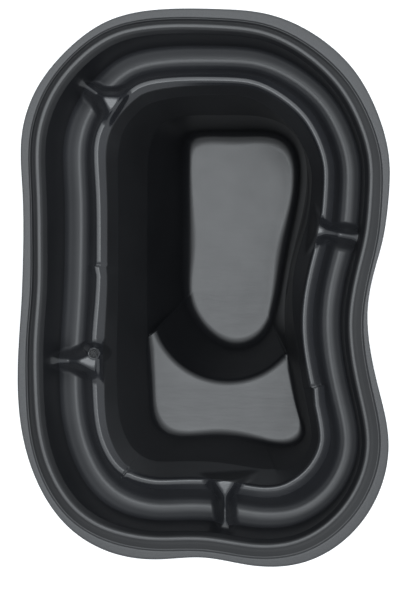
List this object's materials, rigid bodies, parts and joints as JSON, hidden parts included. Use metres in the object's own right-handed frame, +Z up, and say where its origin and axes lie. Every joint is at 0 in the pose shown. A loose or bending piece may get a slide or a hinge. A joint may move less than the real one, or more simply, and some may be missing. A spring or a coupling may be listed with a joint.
{
  "type": "preformed pond liner",
  "caption": "Rigid moulded garden pond with a flanged rim, a planting trough crossed by ridges, a half-depth shelf and a deep pit.",
  "frame": {"origin": "centre of the bounding box in plan, on the underside of the pit floor", "axes": "+Z up out of the pond, +Y along the long side from the shelf towards the pit, +X across towards the waisted side"},
  "size_m": [0.8, 1.2, 0.45],
  "materials": {
    "sheet": "satin black polyethylene",
    "mark": "satin black polyethylene"
  },
  "bodies": {
    "root": {"basin_wall_northeast": "sheet", "basin_wall_southeast": "sheet", "basin_wall_southwest": "sheet", "basin_wall_west": "sheet", "blank_mark": "mark", "dam_east": "sheet", "dam_north": "sheet", "dam_south": "sheet", "dam_west": "sheet", "pit_floor": "sheet", "pit_wall_east": "sheet", "pit_wall_north": "sheet", "pit_wall_south": "sheet", "pit_wall_west": "sheet", "planting_trough_north": "sheet", "planting_trough_northeast": "sheet", "planting_trough_south": "sheet", "planting_trough_southeast": "sheet", "planting_trough_southwest": "sheet", "planting_trough_west": "sheet", "rim_northeast": "sheet", "rim_southeast": "sheet", "rim_southwest": "sheet", "rim_west": "sheet", "shelf": "sheet"}
  },
  "joints": []
}
